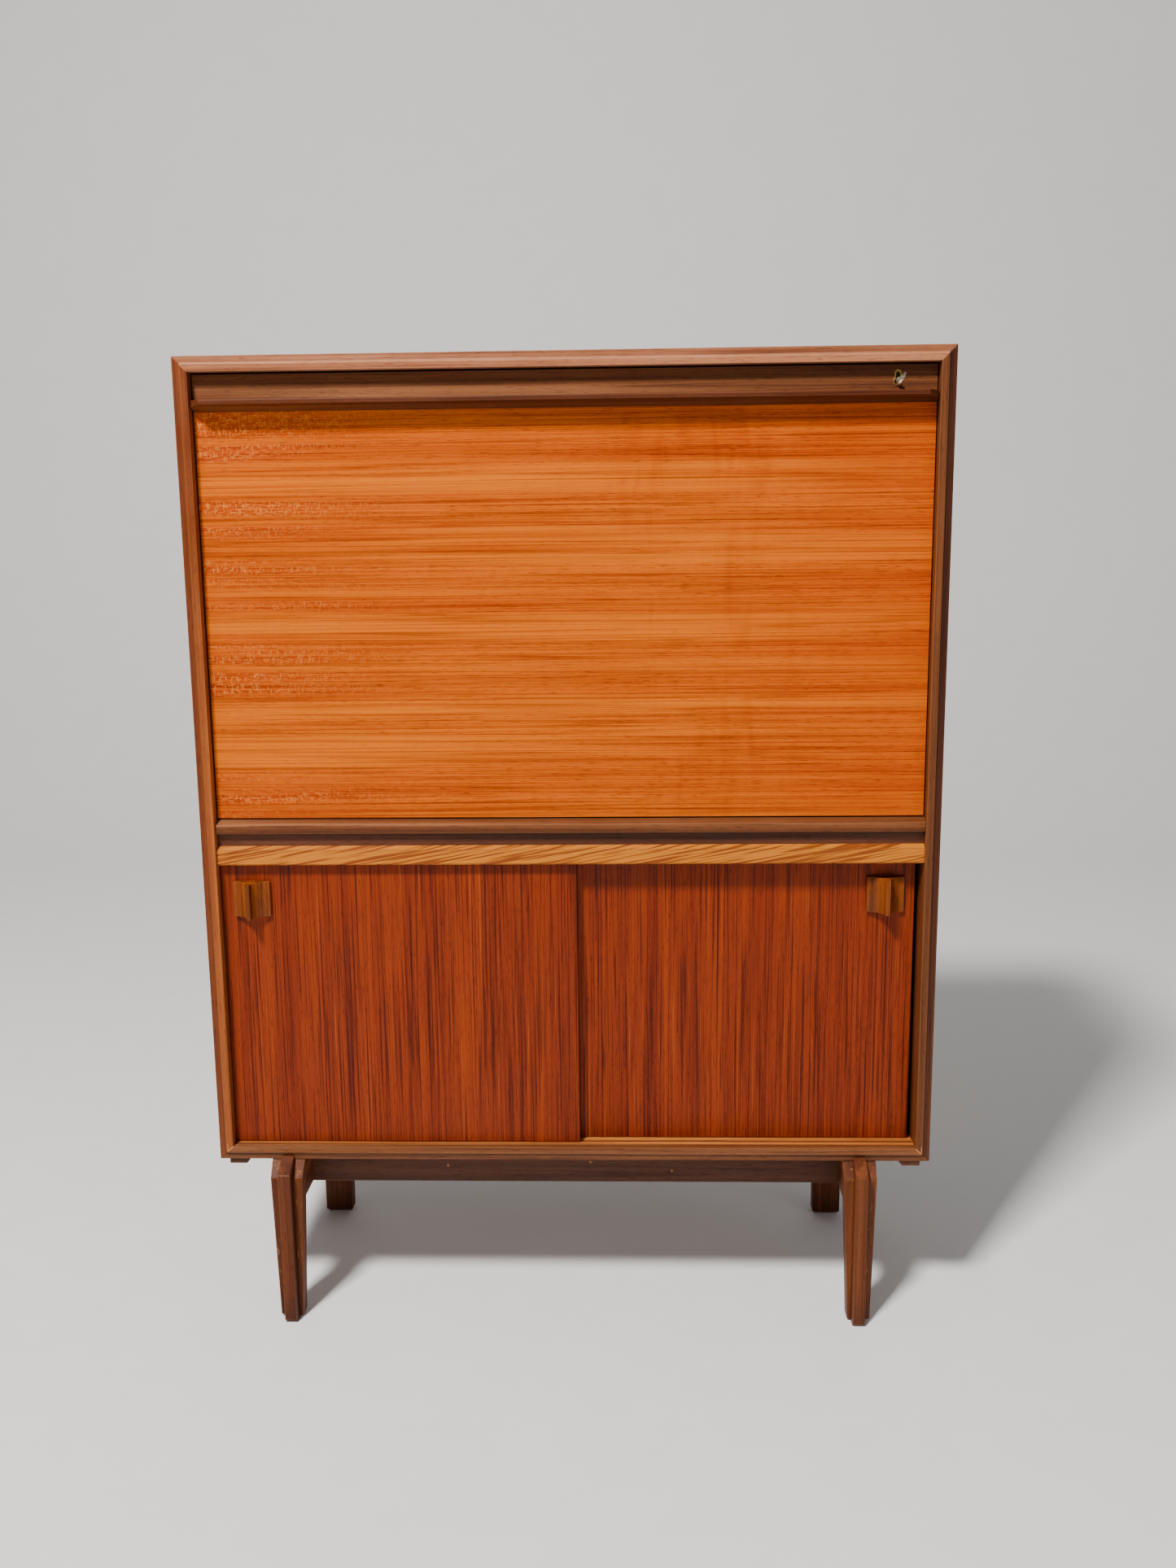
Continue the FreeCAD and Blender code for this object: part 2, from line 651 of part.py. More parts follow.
def stay_points():
    """The arm's pivot and the guide's pivot, as (depth, z), with the fall front closed."""
    inner = FALL_THICKNESS / 2 + STAY_OFFSET
    pivot = (AXIS_DEPTH + inner, AXIS_HEIGHT + math.sqrt(STAY_RADIUS**2 - inner**2))
    angle = math.radians(GUIDE_ANGLE)
    guide = (AXIS_DEPTH + STAY_RADIUS * math.cos(angle), AXIS_HEIGHT + STAY_RADIUS * math.sin(angle))
    return pivot, guide


def lay_along_stay(shape, origin):
    """Turn a piece built level along +Y at the origin to lie along the closed stay at a point."""
    (d0, z0), (d1, z1) = stay_points()
    slope = math.degrees(math.atan2(z1 - z0, d1 - d0))
    shape.rotate(FreeCAD.Vector(0, 0, 0), FreeCAD.Vector(1, 0, 0), slope)
    shape.translate(FreeCAD.Vector(0, at_depth(origin[0]), origin[1]))
    return shape


def bar(x_range, y_range, z_range):
    """A box in the stay's own level frame."""
    (x0, x1), (y0, y1), (z0, z1) = sorted(x_range), y_range, z_range
    return Part.makeBox(x1 - x0, y1 - y0, z1 - z0, FreeCAD.Vector(x0, y0, z0))


def level_rod(radius, x0, x1):
    """A cylinder along X through the stay's own origin."""
    return Part.makeCylinder(radius, abs(x1 - x0), FreeCAD.Vector(min(x0, x1), 0, 0), FreeCAD.Vector(1, 0, 0))


def stay_arm(hand):
    """A flat brass arm with an eye at the fall front and a stop head at its tail."""
    x_range = (hand * ARM_INSIDE, hand * ARM_OUTSIDE)
    head_start = ARM_LENGTH - ARM_HEAD
    shank = bar(x_range, (0, head_start), (-ARM_HALF_HEIGHT, ARM_HALF_HEIGHT))
    head = bar(x_range, (head_start, ARM_LENGTH), (-ARM_HALF_HEIGHT - 2.5, ARM_HALF_HEIGHT + 2.5))
    eye = level_rod(ARM_EYE_RADIUS, *x_range)
    hole = level_rod(ARM_PIN_RADIUS + PIN_RUNNING_GAP, hand * (ARM_INSIDE - 1), hand * (ARM_OUTSIDE + 1))
    arm = shank.fuse([head, eye]).removeSplitter().cut(hole)
    return lay_along_stay(arm, stay_points()[0])


def stay_guide(hand):
    """The swivelling block on the case side that the arm slides through."""
    body = bar(
        (hand * GUIDE_INSIDE, hand * GUIDE_OUTSIDE),
        (-GUIDE_HALF, GUIDE_HALF),
        (-GUIDE_HALF, GUIDE_HALF),
    )
    slot = bar(
        (hand * (ARM_INSIDE - GUIDE_GAP), hand * (ARM_OUTSIDE + GUIDE_GAP)),
        (-GUIDE_HALF - 1, GUIDE_HALF + 1),
        (-ARM_HALF_HEIGHT - GUIDE_GAP, ARM_HALF_HEIGHT + GUIDE_GAP),
    )
    hole = level_rod(POST_RADIUS + PIN_RUNNING_GAP, hand * (ARM_OUTSIDE + 1.7), hand * (GUIDE_OUTSIDE + 1))
    return lay_along_stay(body.cut(slot).cut(hole), stay_points()[1])


def stay_posts():
    """A round plate with a post on each case side, which the guide turns on."""
    depth, height = stay_points()[1]
    posts = []
    for hand in (-1, 1):
        wall, face = hand * HALF_INSIDE, hand * (HALF_INSIDE - 2)
        plate = rod(10, (wall, depth, height), (face, depth, height))
        post = rod(POST_RADIUS, (wall, depth, height), (hand * (ARM_OUTSIDE + 2.2), depth, height))
        posts.append(plate.fuse(post).removeSplitter())
    return Part.makeCompound(posts)


def stay_brackets():
    """A plate, a lug and a riveted pin on the fall front for each arm."""
    depth, height = stay_points()[0]
    brackets = []
    for hand in (-1, 1):
        plate = block((hand * 411, hand * 427), (FALL_BACK, FALL_BACK + 2), (height - 15, height + 15))
        lug_x = (hand * (ARM_OUTSIDE + 0.6), hand * (ARM_OUTSIDE + 4))
        lug = block(lug_x, (FALL_BACK, depth), (height - 5, height + 5))
        lug_end = rod(5, (lug_x[0], depth, height), (lug_x[1], depth, height))
        pin = rod(ARM_PIN_RADIUS, (lug_x[1], depth, height), (hand * (ARM_INSIDE - 0.8), depth, height))
        brackets.append(plate.fuse([lug, lug_end, pin]).removeSplitter())
    return Part.makeCompound(brackets)


# --- sliding doors ------------------------------------------------------------------------------


def door_panel(x0, x1, face):
    """A door with a tongue along its bottom and its top edge."""
    middle = face + DOOR_THICKNESS / 2
    tongue_depths = (middle - TONGUE / 2, middle + TONGUE / 2)
    panel = block((x0, x1), (face, face + DOOR_THICKNESS), (DOOR_BOTTOM, DOOR_TOP))
    tongue_bottom = INSIDE_BOTTOM - LOWER_GROOVE_DEPTH + 0.3
    tongues = block((x0, x1), tongue_depths, (tongue_bottom, DOOR_TOP + UPPER_TONGUE))
    return panel.fuse(tongues).removeSplitter()


def door_pull(x, face):
    """A square plate whose front is two coves that meet in a fin."""
    half = PULL_WIDTH / 2
    fin_half = half - PULL_COVE
    height = PULL_EDGE + PULL_COVE
    block_shape = block((x - half, x + half), (face - height, face), (PULL_BOTTOM, PULL_TOP))
    for hand in (-1, 1):
        centre = (x + hand * (fin_half + PULL_COVE), face - height)
        low, high = (*centre, PULL_BOTTOM - 1), (*centre, PULL_TOP + 1)
        block_shape = block_shape.cut(rod(PULL_COVE, low, high))
    return block_shape


# --- gallery and drawers ------------------------------------------------------------------------


def gallery_upright(x, bottom):
    """An upright of the gallery, cut back towards its top."""
    run, drop = GALLERY_SLOPE
    outline = [
        (GALLERY_FRONT, bottom),
        (BACK_INSIDE, bottom),
        (BACK_INSIDE, GALLERY_TOP),
        (GALLERY_FRONT + run, GALLERY_TOP),
        (GALLERY_FRONT, GALLERY_TOP - drop),
    ]
    return along_x(outline, x, x + GALLERY_BOARD)


def gallery_sides():
    xs = (-GALLERY_HALF_WIDTH, GALLERY_HALF_WIDTH - GALLERY_BOARD)
    return Part.makeCompound([gallery_upright(x, DESK_LEVEL) for x in xs])


def gallery_shelf():
    half = GALLERY_HALF_WIDTH - GALLERY_BOARD
    return block((-half, half), (GALLERY_FRONT, BACK_INSIDE), (GALLERY_SHELF, GALLERY_SHELF + GALLERY_BOARD))


def gallery_dividers():
    """Three uprights over the shelf and a short one between the drawers."""
    half_board = GALLERY_BOARD / 2
    uprights = [gallery_upright(x - half_board, GALLERY_SHELF + GALLERY_BOARD) for x in (-200, 0, 200)]
    uprights.append(
        block((-half_board, half_board), (GALLERY_FRONT, BACK_INSIDE), (DESK_LEVEL, GALLERY_SHELF))
    )
    return Part.makeCompound(uprights)


def drawer_span(hand):
    """The x of a drawer's inner and outer edge."""
    inner = GALLERY_BOARD / 2 + DRAWER_GAP
    outer = GALLERY_HALF_WIDTH - GALLERY_BOARD - DRAWER_GAP
    return hand * inner, hand * outer


def drawer_front(hand):
    heights = (DESK_LEVEL + 1.2, GALLERY_SHELF - 1.2)
    return block(drawer_span(hand), (GALLERY_FRONT, GALLERY_FRONT + DRAWER_FRONT), heights)


def drawer_box(hand):
    """The dovetailed sides and back of a drawer, grooved for its bottom."""
    inner, outer = drawer_span(hand)
    inner, outer = inner + hand * 1.0, outer - hand * 1.0
    front = GALLERY_FRONT + DRAWER_FRONT
    heights = (DESK_LEVEL + 0.4, DRAWER_WALL_TOP)
    box = block((inner, outer), (front, DRAWER_BACK), heights)
    wall = hand * DRAWER_WALL
    hollow = block(
        (inner + wall, outer - wall),
        (front - 1, DRAWER_BACK - DRAWER_WALL),
        (heights[0] - 1, heights[1] + 1),
    )
    return box.cut(hollow).cut(drawer_bottom(hand))


def drawer_bottom(hand):
    inner, outer = drawer_span(hand)
    housed = hand * (1.0 + DRAWER_WALL / 2)
    front = GALLERY_FRONT + DRAWER_FRONT
    back = DRAWER_BACK - DRAWER_WALL / 2
    heights = (DRAWER_FLOOR_HEIGHT - DRAWER_FLOOR, DRAWER_FLOOR_HEIGHT)
    return block((inner + housed, outer - housed), (front, back), heights)


def drawer_knob(hand):
    """A small turned knob in the middle of a drawer front."""
    inner, outer = drawer_span(hand)
    x, z = (inner + outer) / 2, (DESK_LEVEL + GALLERY_SHELF) / 2
    axis = (x, GALLERY_FRONT, z)
    stem = rod(KNOB_RADIUS * 0.45, axis, (x, GALLERY_FRONT - KNOB_LENGTH * 0.6, z))
    base = FreeCAD.Vector(x, at_depth(GALLERY_FRONT - KNOB_LENGTH * 0.45), z)
    forward = FreeCAD.Vector(0, -1, 0)
    flare = Part.makeCone(KNOB_RADIUS * 0.45, KNOB_RADIUS, KNOB_LENGTH * 0.25, base, forward)
    disc = rod(KNOB_RADIUS, (x, GALLERY_FRONT - KNOB_LENGTH * 0.7, z), (x, GALLERY_FRONT - KNOB_LENGTH, z))
    return stem.fuse([flare, disc]).removeSplitter()


# --- the whole desk -----------------------------------------------------------------------------


def case_parts():
    parts = {}
    for side in ("left", "right", "top", "bottom"):
        name = "case_" + ("side_" + side if side in ("left", "right") else side)
        parts[name] = case_board(side)
        parts["edge_moulding_" + side] = edge_moulding(side)
    parts["back_panel"] = back_panel_blank().cut(back_screws())
    parts["back_panel_screws"] = back_screws()
    parts["desk_floor"] = desk_floor()
    parts["mid_rail"] = mid_rail()
    parts["upper_mid_moulding"] = upper_mid_moulding()
    parts["lower_mid_moulding"] = lower_mid_moulding()
    parts["door_top_track"] = door_top_track()
    parts["lower_shelf"] = lower_shelf()
    return parts


def base_parts():
    parts = {}
    for side, side_name in ((-1, "left"), (1, "right")):
        for rear, end_name in ((False, "front"), (True, "rear")):
            place = end_name + "_" + side_name
            parts["leg_core_" + place] = leg_core(side, rear)
            parts["leg_cheeks_" + place] = leg_cheeks(side, rear)
        parts["side_rail_" + side_name] = side_rail(side)
    parts["front_apron"] = apron(LEG_DEPTH - LEG_PROUD + APRON_SETBACK)
    parts["rear_apron"] = apron(REAR_LEG_FRONT - APRON_SETBACK - APRON)
    parts["base_battens"] = base_battens()
    return parts


def fall_parts():
    parts = {
        "fall_panel": fall_panel(),
        "fall_top_rail": fall_top_rail(),
        "fall_pull_lip": fall_pull_lip(),
        "pivot_pins": pivot_pins(),
        "pivot_bushes": pivot_bushes(),
        "lock_case": lock_case(),
        "lock_bolt": lock_bolt(),
        "keyhole_liner": keyhole_liner(),
        "key": key(),
        "strike_plate": strike_plate(),
        "stay_posts": stay_posts(),
        "stay_brackets": stay_brackets(),
    }
    for hand, side_name in ((-1, "left"), (1, "right")):
        parts["stay_arm_" + side_name] = stay_arm(hand)
        parts["stay_guide_" + side_name] = stay_guide(hand)
    return parts


def door_parts():
    return {
        "door_left_panel": door_panel(LEFT_DOOR_EDGE, DOOR_OVERLAP, LEFT_DOOR_FACE),
        "door_left_pull": door_pull(LEFT_PULL_X, LEFT_DOOR_FACE),
        "door_right_panel": door_panel(-DOOR_OVERLAP, RIGHT_DOOR_EDGE, RIGHT_DOOR_FACE),
        "door_right_pull": door_pull(RIGHT_PULL_X, RIGHT_DOOR_FACE),
    }


def gallery_parts():
    parts = {
        "gallery_sides": gallery_sides(),
        "gallery_shelf": gallery_shelf(),
        "gallery_dividers": gallery_dividers(),
    }
    for hand, side_name in ((-1, "left"), (1, "right")):
        prefix = "drawer_" + side_name
        parts[prefix + "_front"] = drawer_front(hand)
        parts[prefix + "_box"] = drawer_box(hand)
        parts[prefix + "_bottom"] = drawer_bottom(hand)
        parts[prefix + "_knob"] = drawer_knob(hand)
    return parts


os.makedirs("parts", exist_ok=True)
for group in (case_parts(), base_parts(), fall_parts(), door_parts(), gallery_parts()):
    for node, shape in group.items():
        assert shape.isValid() and all(s.isClosed() for s in shape.Solids), node
        shape.exportStep("parts/" + node + ".step")
        print(node, len(shape.Solids), "solid(s)", round(shape.Volume / 1000, 1), "cm3")
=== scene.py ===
"""The look of the secretary desk: finishes, small fittings, floor, light and camera.

Every finish is procedural and is laid out in the desk's own frame, in metres: +X is to the right,
+Y is to the back and +Z is up. A piece keeps its finish when it moves.
"""
import itertools
import math

import bmesh
import bpy
from mathutils import Matrix, Vector


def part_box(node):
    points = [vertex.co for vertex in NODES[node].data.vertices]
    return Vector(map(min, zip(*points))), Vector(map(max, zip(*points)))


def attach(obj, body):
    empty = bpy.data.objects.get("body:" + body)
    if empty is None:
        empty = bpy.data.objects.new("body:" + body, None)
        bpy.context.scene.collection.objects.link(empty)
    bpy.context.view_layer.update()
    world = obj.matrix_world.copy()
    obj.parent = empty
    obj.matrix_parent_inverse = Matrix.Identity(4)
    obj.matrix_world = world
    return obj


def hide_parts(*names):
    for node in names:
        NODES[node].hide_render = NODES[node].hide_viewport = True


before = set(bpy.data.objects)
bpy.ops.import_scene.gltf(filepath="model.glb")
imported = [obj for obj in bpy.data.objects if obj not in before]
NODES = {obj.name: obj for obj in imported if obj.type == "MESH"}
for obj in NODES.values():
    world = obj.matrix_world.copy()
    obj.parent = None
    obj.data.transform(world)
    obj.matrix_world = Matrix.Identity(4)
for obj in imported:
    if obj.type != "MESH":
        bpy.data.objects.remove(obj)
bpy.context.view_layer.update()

AXES = {"x": 0, "y": 1, "z": 2}

# Arrises, in metres
ARRIS = 0.0007
FINE_ARRIS = 0.0003
ARRIS_ANGLE = 28  # degrees; flatter edges are left alone
WELD = 0.00001
OUTER_BAND = 0.0082  # width of the edge mouldings' recessed outer band

# Camera
CAMERA_PLACE = (0.0787, -1.765, 0.980)
CAMERA_PITCH = 10.08  # degrees down
CAMERA_YAW = 1.905  # degrees to the left
CAMERA_ROLL = -0.632
CAMERA_LENS = 30.82
CAMERA_SENSOR = 36.0

# Screws, in metres
SCREW_SLOT = 0.0009
SCREW_PROUD = 0.0001
SCREW_SUNK = 0.00002
BACK_SCREW_RADIUS = 0.0035
BACK_SCREW_EDGE = 0.0135  # from the outside of the case
BACK_SCREW_CORNER = 0.090  # from the top and bottom rows to the nearest screw on a side
BACK_SCREW_SPACING = 0.26  # along the top and bottom
BRACKET_SCREW_RADIUS = 0.0026
BRACKET_SCREW_RISE = 0.011  # above and below the middle of a bracket
BRACKET_SCREW_INSET = 0.008  # from the outer edge of a bracket
BRACKET_PLATE = 0.002
LOCK_SCREW_RADIUS = 0.0022
LOCK_SCREW_INSET = 0.0045
LOCK_PLATE = 0.0012

# Marks on the wood, in metres
PLUG_RADIUS = 0.0018
PLUG_LENGTH = 0.004
PLUG_BURIED = 0.0018  # depth of a plug's middle behind the apron's face
GLUE_PROUD = 0.00004
GLUE_WIDTH = 0.0009
GLUE_STEM_WIDTH = 0.0006
GLUE_STEM_LENGTH = 0.010


def srgb(red, green, blue):
    """A linear colour from 0 to 255 display values."""

    def linear(value):
        value /= 255
        return value / 12.92 if value <= 0.04045 else ((value + 0.055) / 1.055) ** 2.4

    return (linear(red), linear(green), linear(blue), 1.0)


# --- node trees -----------------------------------------------------------------------------------


class Graph:
    """A material's node tree, with short calls for the nodes that the finishes use."""

    def __init__(self, name):
        self.material = bpy.data.materials.new(name)
        self.material.use_nodes = True
        self.tree = self.material.node_tree
        self.tree.nodes.clear()
        self.shader = self.node("ShaderNodeBsdfPrincipled")
        output = self.node("ShaderNodeOutputMaterial")
        self.tree.links.new(self.shader.outputs[0], output.inputs[0])
        self.place = self.node("ShaderNodeTexCoord").outputs["Object"]

    def node(self, kind, inputs=None, **settings):
        """A new node; each input is a constant or another node's output."""
        node = self.tree.nodes.new(kind)
        for name, value in settings.items():
            setattr(node, name, value)
        for socket, value in (inputs or {}).items():
            self.feed(node.inputs[socket], value)
        return node

    def feed(self, socket, value):
        """Link another node's output to a socket, or set the socket to a constant."""
        if isinstance(value, bpy.types.NodeSocket):
            self.tree.links.new(value, socket)
        else:
            socket.default_value = value

    def math(self, operation, a, b=0.0):
        return self.node("ShaderNodeMath", {0: a, 1: b}, operation=operation).outputs[0]

    def level(self, value, low, high, out_low=0.0, out_high=1.0):
        """A value's range low to high, eased into the range out_low to out_high."""
        inputs = {"Value": value, "From Min": low, "From Max": high, "To Min": out_low, "To Max": out_high}
        return self.node("ShaderNodeMapRange", inputs, interpolation_type="SMOOTHSTEP").outputs[0]

    def scaled(self, scale, vector=None, offset=(0.0, 0.0, 0.0)):
        inputs = {"Vector": self.place if vector is None else vector, "Location": offset, "Scale": scale}
        return self.node("ShaderNodeMapping", inputs).outputs[0]

    def noise(self, vector, detail=2.0, roughness=0.5, distortion=0.0):
        inputs = {"Vector": vector, "Scale": 1.0, "Detail": detail, "Roughness": roughness}
        inputs["Distortion"] = distortion
        return self.node("ShaderNodeTexNoise", inputs).outputs[0]

    def mix(self, factor, a, b, blend="MIX"):
        """Two colours mixed by a factor."""
        node = self.node("ShaderNodeMix", {0: factor, 6: a, 7: b}, data_type="RGBA", blend_type=blend)
        return node.outputs[2]

    def darken(self, colour, factor, tint):
        """A colour multiplied by a tint where the factor is 1."""
        return self.mix(factor, colour, tint, "MULTIPLY")

    def axis(self, name, vector=None):
        """One coordinate of a point."""
        inputs = {0: self.place if vector is None else vector}
        return self.node("ShaderNodeSeparateXYZ", inputs).outputs[AXES[name]]

    def shifted(self, amount, direction, vector=None):
        """A point moved along a direction by an amount."""
        inputs = {0: direction, "Scale": amount}
        move = self.node("ShaderNodeVectorMath", inputs, operation="SCALE").outputs[0]
        start = self.place if vector is None else vector
        return self.node("ShaderNodeVectorMath", {0: start, 1: move}, operation="ADD").outputs[0]

    def bump(self, height, distance, strength=1.0):
        inputs = {"Height": height, "Distance": distance, "Strength": strength}
        self.feed(self.shader.inputs["Normal"], self.node("ShaderNodeBump", inputs).outputs[0])


def stretch(grain, along, across):
    """A scale for a pattern that is long in the grain's direction."""
    return tuple(along if name == grain else across for name in AXES)


def seeded(seed, spread=7.0):
    """A place in the noise that is different for each piece."""
    return tuple(spread * math.sin(seed * k + k) for k in (12.9, 7.3, 4.1))


# --- wood -----------------------------------------------------------------------------------------


class Timber:
    """The numbers that make one kind of wood.

    colours are the dark, middle and light band; band and line are patterns per metre across the
    grain; wave is how far the grain wanders, in metres.
    """

    def __init__(self, colours, line_colour, band=14.0, line=110.0, line_depth=0.6, wave=0.004,
                 pore_depth=0.5, fleck=0.0, rough=(0.42, 0.6), shine=0.22, relief=0.00006):
        self.colours = [srgb(*c) for c in colours]
        self.line_colour = srgb(*line_colour)
        self.band = band
        self.line = line
        self.line_depth = line_depth
        self.wave = wave
        self.pore_depth = pore_depth
        self.fleck = fleck
        self.rough = rough
        self.shine = shine
        self.relief = relief


TIMBERS = {
    "walnut_veneer": Timber(
        ((104, 52, 24), (118, 62, 30), (134, 76, 40)), (136, 94, 70), band=26.0, line=80.0, wave=0.010),
    "walnut_solid": Timber(
        ((122, 58, 20), (150, 78, 30), (180, 102, 46)), (140, 96, 70), band=30.0, line=150.0, wave=0.003),
    # Lighter wood for the top edge moulding: a painted highlight, for glare on its top
    "walnut_sunned": Timber(
        ((144, 84, 50), (180, 116, 80), (206, 150, 118)), (150, 108, 84), band=40.0, line=150.0, wave=0.003),
    "walnut_light": Timber(
        ((104, 48, 4), (126, 60, 6), (150, 78, 16)), (150, 104, 64), band=60.0, line=170.0),
    "walnut_dark": Timber(
        ((78, 42, 24), (96, 54, 34), (118, 72, 50)), (150, 112, 92), band=22.0, line=140.0, wave=0.003),
    "walnut_brown": Timber(
        ((92, 48, 20), (120, 68, 34), (152, 98, 60)), (132, 94, 72), band=34.0, line=150.0, wave=0.003),
    "walnut_leg": Timber(
        ((80, 34, 8), (98, 46, 14), (124, 68, 30)), (140, 96, 76), band=40.0, line=170.0, wave=0.003),
    "teak_fall": Timber(
        ((198, 86, 0), (207, 95, 0), (214, 104, 0)), (150, 92, 56), band=34.0, line=210.0,
        line_depth=0.55, wave=0.003, fleck=0.25, rough=(0.36, 0.52), shine=0.07),
    "teak_doors": Timber(
        ((132, 44, 9), (139, 49, 11), (147, 54, 13)), (120, 86, 70), band=40.0, line=170.0,
        line_depth=0.7, wave=0.002, fleck=0.25, rough=(0.36, 0.52), shine=0.15),
    "teak_interior": Timber(
        ((160, 80, 26), (184, 100, 38), (206, 124, 56)), (150, 98, 66), band=16.0, line=100.0, wave=0.006),
    "drawer_wood": Timber(
        ((190, 142, 84), (206, 162, 104), (220, 182, 128)), (184, 150, 112), band=20.0, line=90.0,
        line_depth=0.4, rough=(0.55, 0.7)),
    "plywood": Timber(
        ((168, 116, 66), (188, 138, 84), (204, 158, 104)), (158, 116, 78), band=7.0, line=40.0,
        line_depth=0.5, wave=0.02, rough=(0.6, 0.75)),
}


def contour(g, value, width):
    """A thin line wherever a noise passes through its middle value."""
    return g.level(g.math("ABSOLUTE", g.math("SUBTRACT", value, 0.5)), 0.0, width, 1.0, 0.0)


def grain_lines(g, place, grain, timber):
    """Dark growth lines in two sizes, which come and go along the grain."""
    wide = g.noise(g.scaled(stretch(grain, 1.1, timber.line), place), detail=1.0)
    narrow = g.noise(g.scaled(stretch(grain, 1.8, timber.line * 2.6), place), detail=1.0)
    fade = g.noise(g.scaled(stretch(grain, 5.0, timber.line * 0.5), place, (3.1, 1.7, 5.3)), detail=2.0)
    wide = g.math("MULTIPLY", contour(g, wide, 0.06), g.level(fade, 0.36, 0.62, 0.15, 1.0))
    narrow = g.math("MULTIPLY", contour(g, narrow, 0.09), g.level(fade, 0.30, 0.66, 0.7, 0.25))
    return g.math("MAXIMUM", wide, narrow)


def pores(g, place, grain):
    """Short open pores along the grain."""
    dashes = g.noise(g.scaled(stretch(grain, 70.0, 1100.0), place), detail=1.0)
    return g.level(dashes, 0.58, 0.70)


def ray_flecks(g, place, grain):
    """Small light flecks that cross the grain, in patches."""
    flecks = g.noise(g.scaled(stretch(grain, 240.0, 420.0), place), detail=1.0)
    patches = g.noise(g.scaled(stretch(grain, 6.0, 16.0), place), detail=2.0)
    return g.math("MULTIPLY", g.level(flecks, 0.56, 0.70), g.level(patches, 0.42, 0.62))


def wood_graph(slot, grain, seed, worn_and_highlit=False):
    """The finish of one wooden piece, as a graph that can still be added to."""
    timber = TIMBERS[slot]
    g = Graph(f"{slot}_{grain}_{seed}" + ("_arris" if worn_and_highlit else ""))
    start = g.scaled((1.0, 1.0, 1.0), offset=seeded(seed))
    wander = g.noise(g.scaled(stretch(grain, 2.2, 9.0), start), detail=2.0)
    wander = g.math("MULTIPLY", g.math("SUBTRACT", wander, 0.5), 2.0 * timber.wave)
    across = tuple(0.0 if name == grain else 1.0 for name in AXES)
    place = g.shifted(wander, across, start)

    bands = g.noise(g.scaled(stretch(grain, 0.8, timber.band), place), detail=3.0, roughness=0.55)
    dark, middle, light = timber.colours
    colour = g.mix(g.level(bands, 0.36, 0.52), dark, middle)
    colour = g.mix(g.level(bands, 0.50, 0.66), colour, light)
    lines = grain_lines(g, place, grain, timber)
    colour = g.darken(colour, g.math("MULTIPLY", lines, timber.line_depth), timber.line_colour)
    holes = pores(g, place, grain)
    colour = g.darken(colour, g.math("MULTIPLY", holes, timber.pore_depth), srgb(150, 110, 90))
    if timber.fleck:
        flecks = g.math("MULTIPLY", ray_flecks(g, place, grain), timber.fleck)
        colour = g.mix(flecks, colour, light)
    # Arrises: lighter wood, partly worn finish and partly a painted highlight along the edges
    if worn_and_highlit:
        colour = g.mix(0.35, colour, light)

    mottle = g.noise(g.scaled((9.0, 9.0, 9.0), start), detail=4.0, roughness=0.6)
    colour = g.darken(colour, g.level(mottle, 0.3, 0.75, 0.28, 0.0), srgb(216, 196, 180))
    smooth, dull = timber.rough
    roughness = g.level(mottle, 0.3, 0.7, smooth, dull)
    roughness = g.math("ADD", roughness, g.math("MULTIPLY", holes, 0.15))
    g.feed(g.shader.inputs["Roughness"], roughness)
    g.shader.inputs["Specular IOR Level"].default_value = timber.shine
    height = g.math("SUBTRACT", g.math("MULTIPLY", lines, -0.4), holes)
    g.bump(height, timber.relief)
    recolour(g, colour)
    return g


def recolour(g, colour):
    """Make a colour the base colour, and keep it so that more can be laid over it."""
    g.colour = colour
    g.feed(g.shader.inputs["Base Color"], colour)


def case_bottom_graph(seed):
    """Bright teak on the upper face, inside the cupboard, and darker walnut outside."""
    g = wood_graph("teak_interior", "x", seed)
    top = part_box("case_bottom")[1].z
    outside = g.level(g.axis("z"), top - 0.0015, top - 0.0010, 1.0, 0.0)
    recolour(g, g.darken(g.colour, outside, srgb(166, 166, 215)))
    return g


